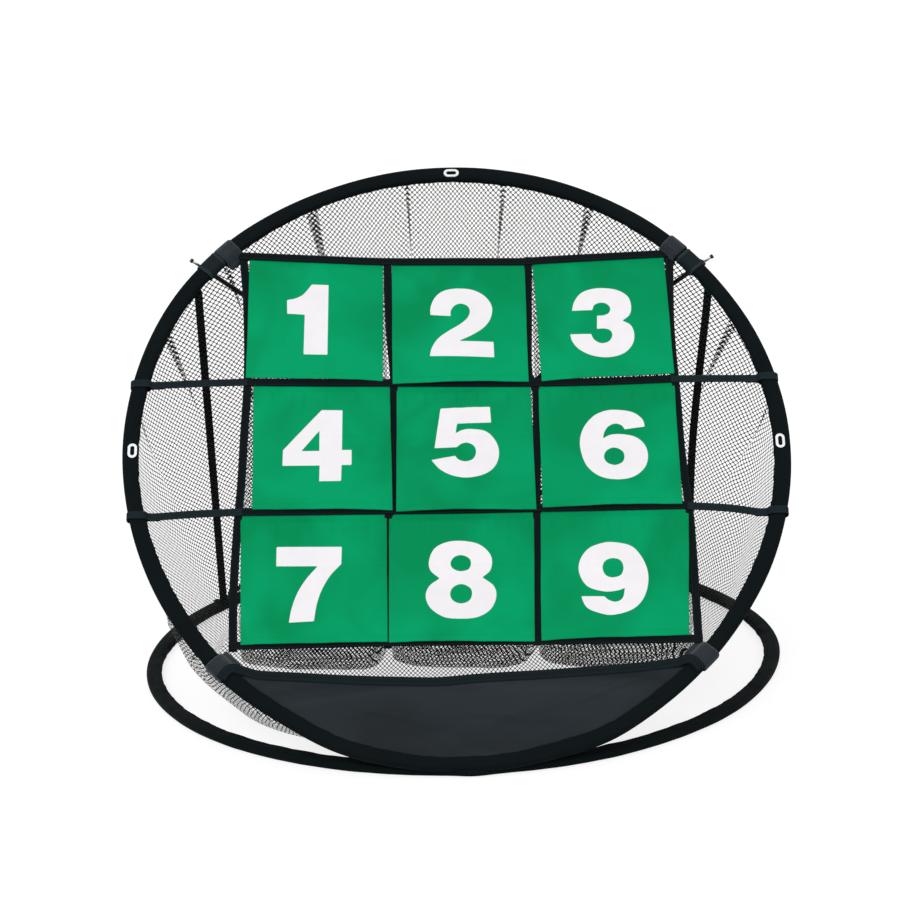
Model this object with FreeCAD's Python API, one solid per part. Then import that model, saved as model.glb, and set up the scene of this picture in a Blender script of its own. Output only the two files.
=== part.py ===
import FreeCAD, Part
import math
import os

V = FreeCAD.Vector
os.makedirs("parts", exist_ok=True)

# Driving sizes in mm: the two spring hoops
ring_r = 390.0
sleeve_w = 20.0
sleeve_d = 12.0
sleeve_round = 5.5
sleeve_wall = 1.0
wire_r = 2.0
wire_play = 0.1
ferrule_wall = 0.7
ferrule_sweep = 3.5

# The front hoop's lean from upright and its turn in its own plane
lean = 42.49
turn = -1.497
hoop_seat = 1.244

# Target frame of webbing
web = 10.0
web_t = 1.5
strap_wrap_t = 1.2
corner_w = 25.0
corner_t = 1.5
corner_clear = 1.5
corner_hold = 4.0
# The frame's centre and half diagonal, which end at the corner straps, its slope,
# and the heights of its upper two rows as shares of the whole
frame_x = 7.0
frame_y = 6.0
frame_inset = 19.45
frame_slope = 44.344
row_share = [0.3446, 0.3282]

# Flaps, their hinge hems and the pockets behind them
flap_side_gap = 0.85
flap_t = 1.2
hem_r = 0.75
hem_gap = 0.35
flap_foot_gap = 1.5
pocket_side_gap = 0.85
pocket_gap = 0.1
pocket_drop = 2.0
pocket_lip = 3.8
pocket_depth = 61.0
pocket_wall = 1.2
pocket_round = 14.0

# Apron across the bottom of the front hoop
apron_gap = 27.0
apron_t = 1.0
binding_h = 9.0
binding_t = 0.8

# Oblong eyelets in the front sleeve
eyelet_l = 19.0
eyelet_w = 11.0
eyelet_bore_l = 12.5
eyelet_bore_w = 5.0
eyelet_rise = 0.8
eyelet_sink = 1.4
eyelet_inset = 2.5

# Two crossed poles: each turns in an eye behind the front sleeve, at an angle round
# it, about a swing axis in the front hoop's axes, and stands on the ground ring
pole_r = 3.0
pin_r = 2.25
ball_wall = 1.5
pin_out = {"left": 20.5, "right": 15.5}
cap_wall = 0.4
eye_wall = 1.4
eye_half = 1.1
eye_play = 0.08
eye_gap = 0.1
eye_back = 0.6
bore_play = 0.03
keeper_t = 1.5
keeper_deg = 4.2
pad_t = 0.8
foot_play = 0.25
foot_inset = 2.0
pole_deg = {"left": 139.692, "right": 39.9334}
pole_foot_deg = {"left": 44.0, "right": 142.0}
pole_axis = {"left": V(-0.90139, 0.36232, 0.23711), "right": V(-0.89968, -0.38056, -0.21389)}
keeper_shift = {"left": -0.55, "right": 0.8}

# Net bag and its two rear stays
net_mouth_inset = 8.0
net_back = 3.0
net_floor_inset = 68.0
net_floor_x = -6.0
net_floor_y = 36.0
net_floor_z = 0.6
net_t = 0.8
net_play = 0.2
stay_w = 10.0
stay_t = 1.5
stay_deg = 34.8
stay_top_deg = 36.049

# Small clearances of what is wrapped or laid on a sleeve
wrap_gap = 0.1
tape_gap = 0.05

# Sizes that follow from the ones above
swivel_r = pole_r + ball_wall
foot_r = pole_r + ball_wall
cap_r = pin_r + cap_wall
eye_r = swivel_r + eye_wall
wire_ring_r = ring_r + sleeve_w / 2 - sleeve_wall - wire_play - wire_r - 0.9
ferrule_r = wire_r + ferrule_wall
frame_half_w = (ring_r - frame_inset) * math.cos(math.radians(frame_slope))
frame_half_h = (ring_r - frame_inset) * math.sin(math.radians(frame_slope))
col_x = [frame_x - frame_half_w + i * frame_half_w / 1.5 for i in range(4)]
row_y = [frame_y + frame_half_h]
for share in row_share + [1 - sum(row_share)]:
    row_y.append(row_y[-1] - 2 * frame_half_h * share)
apron_top = row_y[3] - web / 2 - apron_gap
hem_drop = hem_r + hem_gap
foot_z = sleeve_d + tape_gap + pad_t + foot_r + foot_play
foot_ring_r = ring_r - foot_inset

a = math.radians(lean)
up_plane = V(0, math.sin(a), math.cos(a))
front_dir = V(0, -math.cos(a), math.sin(a))
t = math.radians(turn)
e1 = V(1, 0, 0) * math.cos(t) + up_plane * math.sin(t)
e2 = V(1, 0, 0) * (-math.sin(t)) + up_plane * math.cos(t)
tube_low = ((sleeve_w / 2 - sleeve_round) * math.cos(a)
            + (sleeve_d / 2 - sleeve_round) * math.sin(a) + sleeve_round)
front_tube_z = sleeve_d + tube_low + hoop_seat
front_c = V(0, -ring_r, front_tube_z) + up_plane * ring_r
FRONT = FreeCAD.Placement(FreeCAD.Matrix(
    e1.x, e2.x, front_dir.x, front_c.x,
    e1.y, e2.y, front_dir.y, front_c.y,
    e1.z, e2.z, front_dir.z, front_c.z,
    0, 0, 0, 1))
BASE = FreeCAD.Placement(V(0, 0, sleeve_d / 2), FreeCAD.Rotation())


def place(shape, placement):
    shape.Placement = placement.multiply(shape.Placement)
    return shape


def save(name, shape):
    solids = shape.Solids
    shape = solids[0] if len(solids) == 1 else Part.makeCompound(solids)
    shape.exportStep("parts/" + name + ".step")


def polygon(points, push):
    face = Part.Face(Part.makePolygon(points + [points[0]]))
    return face.extrude(push)


def box(x0, x1, y0, y1, z0, z1):
    return Part.makeBox(x1 - x0, y1 - y0, z1 - z0, V(x0, y0, z0))


def disc(radius, z0, z1):
    return Part.makeCylinder(radius, z1 - z0, V(0, 0, z0))


# A rounded section revolved round the hoop's axis, full or part
def section(grow):
    w = sleeve_w / 2 + grow
    d = sleeve_d / 2 + grow
    r = sleeve_round + grow
    k = r * (1 - math.sqrt(0.5))
    s = [V(ring_r - w, 0, d - r), V(ring_r - w + k, 0, d - k), V(ring_r - w + r, 0, d),
         V(ring_r + w - r, 0, d), V(ring_r + w - k, 0, d - k), V(ring_r + w, 0, d - r),
         V(ring_r + w, 0, r - d), V(ring_r + w - k, 0, k - d), V(ring_r + w - r, 0, -d),
         V(ring_r - w + r, 0, -d), V(ring_r - w + k, 0, k - d), V(ring_r - w, 0, r - d)]
    edges = []
    for i in (0, 3, 6, 9):
        edges.append(Part.Arc(s[i], s[i + 1], s[i + 2]).toShape())
        edges.append(Part.makeLine(s[i + 2], s[(i + 3) % 12]))
    return Part.Wire(edges)


def tube(grow=0.0, start=0.0, sweep=360.0):
    solid = Part.Face(section(grow)).revolve(V(0, 0, 0), V(0, 0, 1), sweep)
    solid.rotate(V(0, 0, 0), V(0, 0, 1), start)
    return solid


def wrap(inner, outer, middle, sweep):
    start = middle - sweep / 2
    return tube(outer, start, sweep).cut(tube(inner, start - 1, sweep + 2))


def polar(radius, deg, z=0.0):
    return V(radius * math.cos(math.radians(deg)), radius * math.sin(math.radians(deg)), z)


def slot_plate(length, width, z0, z1):
    r = width / 2
    h = length / 2 - r
    body = box(-h, h, -r, r, z0, z1)
    for x in (-h, h):
        body = body.fuse(Part.makeCylinder(r, z1 - z0, V(x, 0, z0)))
    return body


# Spring steel wires, their crimped ferrules and the fabric sleeves round them
def hoop(prefix, placement, ferrule_deg):
    wire = Part.makeTorus(wire_ring_r, wire_r)
    save(prefix + "_hoop_wire", place(wire, placement))
    circle = Part.makeCircle(ferrule_r, V(wire_ring_r, 0, 0), V(0, 1, 0))
    core = Part.makeCircle(wire_r + 0.05, V(wire_ring_r, 0, 0), V(0, 1, 0))
    out = Part.Face(Part.Wire(circle)).revolve(V(0, 0, 0), V(0, 0, 1), ferrule_sweep)
    hole = Part.Face(Part.Wire(core)).revolve(V(0, 0, 0), V(0, 0, 1), ferrule_sweep)
    ferrule = out.cut(hole)
    ferrule.rotate(V(0, 0, 0), V(0, 0, 1), ferrule_deg)
    save(prefix + "_wire_ferrule", place(ferrule, placement))
    lengths = []
    for start, sweep in ((0.0, 200.0), (200.0, 160.0)):
        lengths.append(tube(0.0, start, sweep).cut(tube(-sleeve_wall, start - 1, sweep + 2)))
    sleeve = lengths[0].fuse(lengths[1])
    save(prefix + "_hoop_sleeve", place(sleeve, placement))


hoop("base", BASE, 88.0)
hoop("front", FRONT, 268.0)

# Seam tape over the base sleeve where both hoops are sewn together
far = 2 * ring_r
seam = wrap(tape_gap, tape_gap + pad_t, -90.0, 6.0).cut(box(-far, far, -far, far, -20, -3))
save("hinge_binding", place(seam, BASE))

# Oblong eyelets pressed into the front sleeve
plates = []
for deg in (0.0, 90.0, 180.0):
    low = sleeve_d / 2 - eyelet_sink
    high = sleeve_d / 2 + eyelet_rise
    ring = slot_plate(eyelet_l, eyelet_w, low, high)
    ring = ring.cut(slot_plate(eyelet_bore_l, eyelet_bore_w, low - 1, high + 1))
    ring.rotate(V(0, 0, 0), V(0, 0, 1), deg + 90.0)
    ring.translate(polar(ring_r - eyelet_inset, deg))
    plates.append(ring.cut(tube(0.03, deg - 5, 10)).Solids[0])
save("eyelets", place(Part.makeCompound(plates), FRONT))

# Webbing of the target frame: uprights behind, cross straps in front
names = ["left", "mid_left", "mid_right", "right"]
clear_of_hoop = tube(wrap_gap + corner_t + 0.1)
for name, x in zip(names, col_x):
    upright = box(x - web / 2, x + web / 2, row_y[3] - web / 2, row_y[0] + web / 2, -web_t, 0)
    upright = max(upright.cut(clear_of_hoop).Solids, key=lambda s: s.Volume)
    save("frame_strap_" + name, place(upright, FRONT))
x_left = col_x[0] - web / 2
x_right = col_x[3] + web / 2
for name, y in (("top", row_y[0]), ("bottom", row_y[3])):
    cross = box(x_left, x_right, y - web / 2, y + web / 2, 0, web_t).cut(clear_of_hoop)
    cross = max(cross.Solids, key=lambda s: s.Volume)
    save("frame_strap_" + name, place(cross, FRONT))
band_in = tube(wrap_gap)
for name, y in (("upper", row_y[1]), ("lower", row_y[2])):
    reach = math.sqrt((ring_r - corner_hold) ** 2 - y ** 2)
    cross = box(-reach, reach, y - web / 2, y + web / 2, 0, web_t).cut(band_in)
    cross = max(cross.Solids, key=lambda s: s.Volume)
    tilt = math.degrees(math.asin(y / ring_r))
    for middle in (tilt, 180.0 - tilt):
        loop = wrap(wrap_gap, wrap_gap + strap_wrap_t, middle, math.degrees(web / ring_r))
        cross = cross.fuse(loop)
    save("frame_strap_" + name, place(cross, FRONT))

# Hook-and-loop corner straps: once round the sleeve, with a tab over the frame's
# corner that ends clear of the flap beside it
side_gap = web / 2 + flap_side_gap
flap_corner = {"tr": V(col_x[3] - side_gap, row_y[0] - web / 2 - hem_gap, 0),
               "tl": V(col_x[0] + side_gap, row_y[0] - web / 2 - hem_gap, 0),
               "bl": V(col_x[0] + side_gap, row_y[3] + web / 2 + flap_foot_gap, 0),
               "br": V(col_x[3] - side_gap, row_y[3] + web / 2 + flap_foot_gap, 0)}
for name, deg in (("tr", 45.0), ("tl", 135.0), ("bl", 225.0), ("br", 315.0)):
    tab_in = flap_corner[name].dot(polar(1.0, deg)) + corner_clear
    tab = box(tab_in, ring_r - corner_hold, -corner_w / 2, corner_w / 2,
              web_t + wrap_gap, web_t + wrap_gap + corner_t)
    tab.rotate(V(0, 0, 0), V(0, 0, 1), deg)
    tab = max(tab.cut(tube(wrap_gap, deg - 6, 12)).Solids, key=lambda s: s.Volume)
    strap = wrap(wrap_gap, wrap_gap + corner_t, deg, math.degrees(corner_w / ring_r)).fuse(tab)
    save("corner_strap_" + name, place(strap, FRONT))


# A slab with its two lower corners rounded, for a pocket or a flap
def rounded_slab(cx, half, y0, y1, r, z0, z1):
    body = box(cx - half, cx + half, y0, y1, z0, z1)
    for side in (-1, 1):
        x = cx + side * half
        corner = box(min(x, x - side * r), max(x, x - side * r), y0, y0 + r, z0 - 1, z1 + 1)
        corner = corner.cut(Part.makeCylinder(r, z1 - z0 + 4, V(x - side * r, y0 + r, z0 - 2)))
        body = body.cut(corner)
    return body


def pocket(cx, half, top, foot):
    w = pocket_wall
    back = -pocket_depth
    front = -web_t - pocket_gap
    lip = front - pocket_lip
    outer = polygon([V(cx - half, top - pocket_drop, front), V(cx - half, top - pocket_drop, lip),
                     V(cx - half, foot, back), V(cx - half, foot, front)], V(2 * half, 0, 0))
    outer = outer.common(rounded_slab(cx, half, foot, top, pocket_round, back - 1, 0))
    inside = top - pocket_drop - w
    inner = polygon([V(cx - half + w, inside, 0), V(cx - half + w, inside, lip + w),
                     V(cx - half + w, foot + w, back + w), V(cx - half + w, foot + w, 0)],
                    V(2 * (half - w), 0, 0))
    inner = inner.common(rounded_slab(cx, half - w, foot + w, top, pocket_round - w, back, 1))
    return outer.cut(inner)


# Nine flaps hung from their hems, and a pocket behind each
number = 0
for row in range(3):
    top = row_y[row]
    foot = row_y[row + 1]
    for col in range(3):
        number += 1
        cx = (col_x[col] + col_x[col + 1]) / 2
        pitch = col_x[col + 1] - col_x[col]
        flap_w = pitch - web - 2 * flap_side_gap
        hinge_y = top - web / 2 - hem_drop
        flap_y = foot + web / 2 + flap_foot_gap
        leaf = rounded_slab(cx, flap_w / 2, flap_y, hinge_y, 3.0, -flap_t / 2, flap_t / 2)
        hem = Part.makeCylinder(hem_r, flap_w, V(cx - flap_w / 2, hinge_y, 0), V(1, 0, 0))
        save("flap_%d" % number, place(leaf.fuse(hem), FRONT))
        bag_half = pitch / 2 - pocket_side_gap
        save("pocket_%d" % number, place(pocket(cx, bag_half, top, foot), FRONT))

# Apron and the folded tape along its upper edge
half_t = apron_t / 2
apron = disc(ring_r - sleeve_w / 2 - wrap_gap, -half_t, half_t)
apron = apron.common(box(-far, far, -far, apron_top - binding_t - 0.6, -5, 5))
save("apron", place(apron, FRONT))
tape = box(-far, far, apron_top - binding_h, apron_top, -half_t - binding_t, half_t + binding_t)
tape = tape.common(disc(ring_r - sleeve_w / 2 - wrap_gap, -5, 5)).cut(tube(tape_gap))
tape = tape.cut(box(-far, far, -far, apron_top - binding_t - 0.5, -half_t - 0.03, half_t + 0.03))
save("apron_binding", place(tape, FRONT))


def rod(p, q, r):
    return Part.makeCylinder(r, (q - p).Length, p, q - p)


def unit(v):
    return v * (1.0 / v.Length)


# A profile of radius and height with one arc, turned round an axis at a point
def turned(arc, line, at, axis):
    p = [V(x, 0, z) for x, z in arc]
    q = [p[2]] + [V(x, 0, z) for x, z in line] + [p[0]]
    edges = [Part.Arc(p[0], p[1], p[2]).toShape()]
    for i in range(len(q) - 1):
        edges.append(Part.makeLine(q[i], q[i + 1]))
    solid = Part.Face(Part.Wire(edges)).revolve(V(0, 0, 0), V(0, 0, 1), 360)
    return place(solid, FreeCAD.Placement(at, FreeCAD.Rotation(V(0, 0, 1), axis)))


def chord(r, x):
    return math.sqrt(r * r - x * x)


# Poles: each turns in an eye on the front sleeve and stands on the base ring
INTO_FRONT = FRONT.inverse()
pivot_r = ring_r + sleeve_w / 2 + eye_r + eye_gap
pole_pivot = {side: polar(pivot_r, deg, -sleeve_d / 2 - eye_r - eye_back)
              for side, deg in pole_deg.items()}
for side in ("left", "right"):
    pivot = pole_pivot[side]
    foot_deg = pole_foot_deg[side]
    foot = INTO_FRONT.multVec(polar(foot_ring_r, foot_deg, foot_z))
    along = unit(foot - pivot)
    tip = pin_out[side]
    pin = rod(pivot - along * tip, pivot + along * 14.0, pin_r)
    stick = rod(pivot + along * 2.0, foot - along * 1.0, pole_r)
    wide = pole_r + bore_play
    slim = pin_r + bore_play
    ball = turned([(slim, -chord(swivel_r, slim)), (swivel_r, 0), (wide, chord(swivel_r, wide))],
                  [(wide, 2.0), (slim, 2.0)], pivot, along)
    cap = rod(pivot - along * (tip + 1.0), pivot - along * (tip - 2.0), cap_r).cut(pin)
    shoe = turned([(wide, -chord(foot_r, wide)), (foot_r, 0), (1.0, chord(foot_r, 1.0))],
                  [(0, chord(foot_r, 1.0)), (0, -1.0), (wide, -1.0)], foot, along)
    stick = stick.cut(pin)
    for name, piece in (("rod", stick), ("pin", pin), ("cap", cap), ("swivel", ball),
                        ("foot", shoe)):
        save("pole_%s_%s" % (side, name), place(piece, FRONT))
    n = unit(pole_axis[side])
    seat = swivel_r + eye_play
    eye = turned([(chord(seat, eye_half), -eye_half), (seat, 0), (chord(seat, eye_half), eye_half)],
                 [(eye_r, eye_half), (eye_r, -eye_half)], pivot, n)
    save("pole_eye_" + side, place(eye, FRONT))
    deg = pole_deg[side]
    rim = ring_r + sleeve_w / 2
    lug = box(rim - 1.0, rim + 5.0, -2.5, 2.5, -sleeve_d / 2 - 1.8, 3.5 - sleeve_d / 2)
    lug.rotate(V(0, 0, 0), V(0, 0, 1), deg)
    lug = lug.cut(Part.makeSphere(eye_r + 0.15, pivot)).cut(tube(wrap_gap, deg - 4, 8))
    lug = max(lug.Solids, key=lambda s: s.Volume)
    keeper = wrap(wrap_gap, wrap_gap + keeper_t, deg + keeper_shift[side], keeper_deg).fuse(lug)
    save("pole_keeper_" + side, place(keeper, FRONT))
    pad = wrap(tape_gap, tape_gap + pad_t, foot_deg, 4.0).cut(box(-far, far, -far, far, -20, 1.0))
    save("pole_pad_" + side, place(pad, BASE))


# Rear stays of webbing between the hoops
def stay(side):
    high = polar(ring_r + 0.84, stay_top_deg, -sleeve_d / 2 - stay_t / 2)
    low = polar(ring_r, stay_deg, sleeve_d + 0.4)
    top = FRONT.multVec(V(side * high.x, high.y, high.z))
    foot = V(side * low.x, low.y, low.z)
    along = unit(foot - top)
    across = unit(V(1, 0, 0) - along * along.x)
    thick = along.cross(across)
    p = [top - across * (stay_w / 2) - thick * (stay_t / 2),
         top + across * (stay_w / 2) - thick * (stay_t / 2),
         top + across * (stay_w / 2) + thick * (stay_t / 2),
         top - across * (stay_w / 2) + thick * (stay_t / 2)]
    return polygon(p, foot - top)


save("stay_left", stay(-1))
save("stay_right", stay(1))


# Net bag: from the front hoop down to a floor inside the base ring, mouth open
def bag(shrink, floor_z, mouth_z):
    mouth_r = ring_r - net_mouth_inset - shrink
    floor_r = ring_r - net_floor_inset - shrink
    mouth = Part.Wire(Part.makeCircle(mouth_r, V(0, 0, 0), V(0, 0, 1)))
    mouth.translate(V(0, 0, mouth_z))
    mouth = place(mouth, FRONT)
    floor = Part.Wire(Part.makeCircle(floor_r, V(net_floor_x, net_floor_y, floor_z), V(0, 0, 1)))
    return Part.makeLoft([mouth, floor], True, True)


net = bag(0.0, net_floor_z, -net_back).cut(bag(net_t, net_floor_z + net_t, -net_back))
for side in ("left", "right"):
    foot = polar(foot_ring_r, pole_foot_deg[side], foot_z)
    top = FRONT.multVec(pole_pivot[side])
    net = net.cut(rod(top, foot, pole_r + 4.0))
room = tube(wrap_gap + net_play)
tilt_up = math.degrees(math.asin(row_y[1] / ring_r))
tilt_low = math.degrees(math.asin(row_y[2] / ring_r))
for deg in (45.0, 135.0, 225.0, 315.0):
    room = room.fuse(tube(wrap_gap + corner_t + net_play + 0.1, deg - 2.2, 4.4))
for deg in (tilt_up, 180.0 - tilt_up, tilt_low, 180.0 - tilt_low):
    room = room.fuse(tube(wrap_gap + strap_wrap_t + net_play + 0.1, deg - 1.1, 2.2))
for side in ("left", "right"):
    start = pole_deg[side] + keeper_shift[side] - keeper_deg / 2 - 0.4
    room = room.fuse(tube(wrap_gap + keeper_t + net_play + 0.2, start, keeper_deg + 0.8))
net = net.cut(place(room, FRONT))
save("net_bag", max(net.Solids, key=lambda s: s.Volume))
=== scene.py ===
"""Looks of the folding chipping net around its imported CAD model."""
import math

import bpy
import numpy as np
from mathutils import Matrix


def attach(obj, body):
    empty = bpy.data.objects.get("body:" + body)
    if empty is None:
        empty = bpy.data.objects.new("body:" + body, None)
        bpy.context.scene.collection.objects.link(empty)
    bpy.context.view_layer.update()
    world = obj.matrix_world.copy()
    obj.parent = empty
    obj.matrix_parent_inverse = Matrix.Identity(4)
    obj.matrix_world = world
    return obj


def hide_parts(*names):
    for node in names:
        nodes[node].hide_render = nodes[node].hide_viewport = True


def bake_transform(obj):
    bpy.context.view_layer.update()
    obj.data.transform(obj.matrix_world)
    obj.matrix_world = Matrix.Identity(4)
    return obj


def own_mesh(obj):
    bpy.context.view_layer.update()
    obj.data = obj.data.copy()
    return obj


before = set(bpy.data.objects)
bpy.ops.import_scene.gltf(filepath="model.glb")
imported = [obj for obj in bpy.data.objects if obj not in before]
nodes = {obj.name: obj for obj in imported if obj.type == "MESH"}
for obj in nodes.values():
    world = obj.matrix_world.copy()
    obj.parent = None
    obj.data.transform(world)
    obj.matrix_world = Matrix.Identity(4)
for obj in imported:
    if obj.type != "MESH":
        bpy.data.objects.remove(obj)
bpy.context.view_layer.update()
MM = 0.001

# The camera that the photograph was taken with, in the object's own axes
CAM_AT = (-0.06391, -3.13853, 1.13442)
CAM_RIGHT = (0.99899, -0.03199, -0.03165)
CAM_UP = (0.03908, 0.26816, 0.96258)
CAM_AHEAD = (0.0223, 0.96284, -0.26914)
LENS = 101.57
FILM_WIDTH = 36.0

# Both hoops, in metres: the front one leans back and is turned a little in its plane
RING = 0.390
SLEEVE_W = 0.020
SLEEVE_D = 0.012
SLEEVE_ROUND = 0.0055
HINGE_HEIGHT = 0.0224
LEAN = math.radians(42.49)
TURN = math.radians(-1.497)
RISE = np.array([0.0, math.sin(LEAN), math.cos(LEAN)])
TOWARD = np.array([0.0, -math.cos(LEAN), math.sin(LEAN)])
X_AXIS = np.array([1.0, 0.0, 0.0])
Y_AXIS = np.array([0.0, 1.0, 0.0])
WIDE = X_AXIS * math.cos(TURN) + RISE * math.sin(TURN)
HIGH = -X_AXIS * math.sin(TURN) + RISE * math.cos(TURN)
MIDDLE = np.array([0.0, -RING, HINGE_HEIGHT]) + RING * RISE


def on_front(p):
    """Points (across, up, out) of the front hoop's plane, carried into the object's axes."""
    return MIDDLE + p @ np.stack([WIDE, HIGH, TOWARD])


def on_ground(p):
    """Points (x, y, height) measured from the middle of the ground ring's tube."""
    return p + np.array([0.0, 0.0, SLEEVE_D / 2])


def round_hoop(p, deg):
    """Points (out from the hoop's centre, along its rim, height) bent round the hoop at an
    angle: the rim distance is divided by the radius to give the turn."""
    turn = math.radians(deg) + p[..., 1] / RING
    return np.stack([p[..., 0] * np.cos(turn), p[..., 0] * np.sin(turn), p[..., 2]], -1)


def at_rim(place, deg, out=0.0):
    """A way to place a piece on a hoop at an angle, moved outward by a distance."""
    return lambda p: place(round_hoop(p + [out, 0, 0], deg))


# How far each hoop bulges out of a circle, and how far the front sleeve's inner edge is
# drawn outward where the sleeve narrows round its foot, as hills round the hoop: angle in
# degrees, half width in degrees, height in millimetres
FRONT_BULGES = ((75, 28, -1.5), (144, 22, 6.2), (198, 14, -1.2), (232, 15, 4.4), (250.5, 9, 8.6),
                (264, 9, 8.6), (278, 9, 8.6), (292.8, 9, 8.8), (306, 14, 5.0))
GROUND_BULGES = ((0, 18, 4.2), (166, 10, -1.4), (240, 14, -1.4), (270, 3.5, 4.2), (308, 12, -1.4))
FOOT_PULL = ((270, 24, 2.9),)


def outward(deg, hills):
    """Distance in metres outside a hoop's circle at an angle: the sum of the hills."""
    return MM * sum(h * np.exp(-(((deg - at + 180) % 360 - 180) / w) ** 2) for at, w, h in hills)


def bulge(deg):
    """How far the front hoop lies outside its circle."""
    return outward(deg, FRONT_BULGES)


# Numbers worked out as whole arrays

def ripple(x, waves, seed, spread=1.0):
    """A sum of sines of x at whole numbers of waves per turn, each with its own phase from
    the seed, and smaller the more waves it has."""
    rng = np.random.default_rng(seed)
    total = 0.0
    for w in waves:
        total = total + np.sin(w * x + rng.uniform(0, 2 * np.pi)) * (waves[0] / w) ** spread
    return total


def hill(x, width):
    """A smooth bump: e to the power of minus the square of x over width."""
    return np.exp(-(x / width) ** 2)


def lapped(rows):
    """Rows with the first one again at the end."""
    return np.concatenate([rows, rows[:1]])


def run_along(points):
    """Running length along a line of points."""
    return np.concatenate([[0], np.cumsum(np.linalg.norm(np.diff(points, axis=0), axis=1))])


def along_line(points, run, s):
    """Points at the distances s along a line whose running length is run."""
    return np.stack([np.interp(s, run, points[:, k]) for k in range(points.shape[1])], 1)


def cubics(start, end, slope_out, slope_in, count):
    """Points along cubics from each start to its end, with the slopes there."""
    t = np.linspace(0, 1, count, endpoint=False)[:, None]
    start, end, slope_out, slope_in = (x[:, None] for x in (start, end, slope_out, slope_in))
    line = ((2 * t ** 3 - 3 * t ** 2 + 1) * start + (t ** 3 - 2 * t ** 2 + t) * slope_out
            + (3 * t ** 2 - 2 * t ** 3) * end + (t ** 3 - t ** 2) * slope_in)
    return line.reshape(-1, line.shape[2])


def smooth_line(points, step):
    """A smooth curve through the points, then points on it about a step apart: each stretch is
    a cubic whose end slopes are half the chord between the neighbours."""
    p = np.array(points, float)
    p = np.vstack([2 * p[0] - p[1], p, 2 * p[-1] - p[-2]])
    slope = (p[2:] - p[:-2]) / 2
    fine = np.vstack([cubics(p[1:-2], p[2:-1], slope[:-1], slope[1:], 24), p[-2:-1]])
    run = run_along(fine)
    count = max(4, int(round(run[-1] / step)))
    return along_line(fine, run, np.linspace(0, run[-1], count))


def rounded_outline(half_w, half_d, r, count):
    """Evenly spaced points round a rectangle with quarter-circle corners, from the middle of
    the far long side, counter-clockwise."""
    per_corner = 10
    q = np.linspace(0, np.pi / 2, per_corner)
    arcs = []
    for k, (sx, sy) in enumerate([(1, 1), (-1, 1), (-1, -1), (1, -1)]):
        turn = q + k * np.pi / 2
        arcs.append(np.stack([sx * (half_w - r) + r * np.cos(turn),
                              sy * (half_d - r) + r * np.sin(turn)], 1))
    ring = lapped(np.vstack(arcs))
    run = run_along(ring)
    s = run[per_corner - 1] + (half_w - r) + np.linspace(0, run[-1], count, endpoint=False)
    return along_line(ring, run, s % run[-1])


# Meshes from grids of points

def new_object(name, data):
    """A mesh, lamp or camera put in the scene."""
    obj = bpy.data.objects.new(name, data)
    bpy.context.scene.collection.objects.link(obj)
    return obj


def surface(name, points, uv, round_i=False, round_j=False, flip=False):
    """A mesh of quads over a grid of points. uv has one more row or column than the points
    along a closed direction. One face closes each end of a tube."""
    n, m = points.shape[:2]
    i, j = np.meshgrid(np.arange(n if round_i else n - 1), np.arange(m if round_j else m - 1),
                       indexing="ij")
    i, j = i.ravel(), j.ravel()
    corners = [(i, j), (i + 1, j), (i + 1, j + 1), (i, j + 1)]
    if flip:
        corners.reverse()
    faces = np.stack([(a % n) * m + b % m for a, b in corners], 1).tolist()
    spots = np.stack([uv[a, b] for a, b in corners], 1).reshape(-1, 2)
    if round_j and not round_i:
        first = np.arange(m)[::-1 if flip else 1]
        last = first[::-1] + (n - 1) * m
        faces += [first.tolist(), last.tolist()]
        spots = np.vstack([spots, uv[0, first], uv[n - 1, last - (n - 1) * m]])
    mesh = bpy.data.meshes.new(name)
    mesh.from_pydata(points.reshape(-1, 3).tolist(), [], faces)
    layer = mesh.uv_layers.new(name="UVMap")
    layer.data.foreach_set("uv", spots.astype(np.float32).ravel())
    mesh.shade_smooth()
    return new_object(name, mesh)


def thicken(piece, thickness, offset):
    """Gives a cloth its thickness, on the side that offset says."""
    shell = piece.modifiers.new("cloth thickness", "SOLIDIFY")
    shell.thickness = thickness
    shell.offset = offset
    return shell


def joined(name, parts):
    """One piece of one or more meshes, with one set of materials."""
    if len(parts) > 1:
        bpy.context.view_layer.update()
        with bpy.context.temp_override(active_object=parts[0], selected_editable_objects=parts,
                                       selected_objects=parts, object=parts[0]):
            bpy.ops.object.join()
    parts[0].name = name
    parts[0].data.name = name
    return parts[0]


# Tape wider than the first has more points round its section; the others say how wide a
# bound edge is and how quickly it thickens
WIDE_TAPE = 0.012
LIP_WIDTH = 0.0026
LIP_SLOPE = 0.0006


def band(name, line, wide_way, width, thick, place, closed=False, lip=0.0):
    """Webbing: a flat rounded section, width by thick, carried along a line with its width
    kept along wide_way. A lip makes the section's two edges that much thicker, as bound tape
    is."""
    step = np.roll(line, -1, 0) - np.roll(line, 1, 0) if closed else np.gradient(line, axis=0)
    along = step / np.linalg.norm(step, axis=1)[:, None]
    across = np.broadcast_to(wide_way, line.shape)
    across = across - (across * along).sum(1)[:, None] * along
    across = across / np.linalg.norm(across, axis=1)[:, None]
    face = np.cross(along, across)
    count = 28 if width > WIDE_TAPE else 20
    section = rounded_outline(width / 2, thick / 2, thick * 0.45, count)
    near_edge = np.clip((np.abs(section[:, 0]) - width / 2 + LIP_WIDTH) / LIP_SLOPE, 0, 1)
    section[:, 1] += np.sign(section[:, 1]) * lip * near_edge
    grid = (line[:, None, :] + section[None, :, 0, None] * across[:, None, :]
            + section[None, :, 1, None] * face[:, None, :])
    run = run_along(lapped(line) if closed else line)
    uv = np.stack(np.broadcast_arrays(run[:, None], lapped(section[:, 0])[None, :]), -1)
    return surface(name, place(grid), uv, round_i=closed, round_j=True, flip=True)


# Shader building blocks

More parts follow.
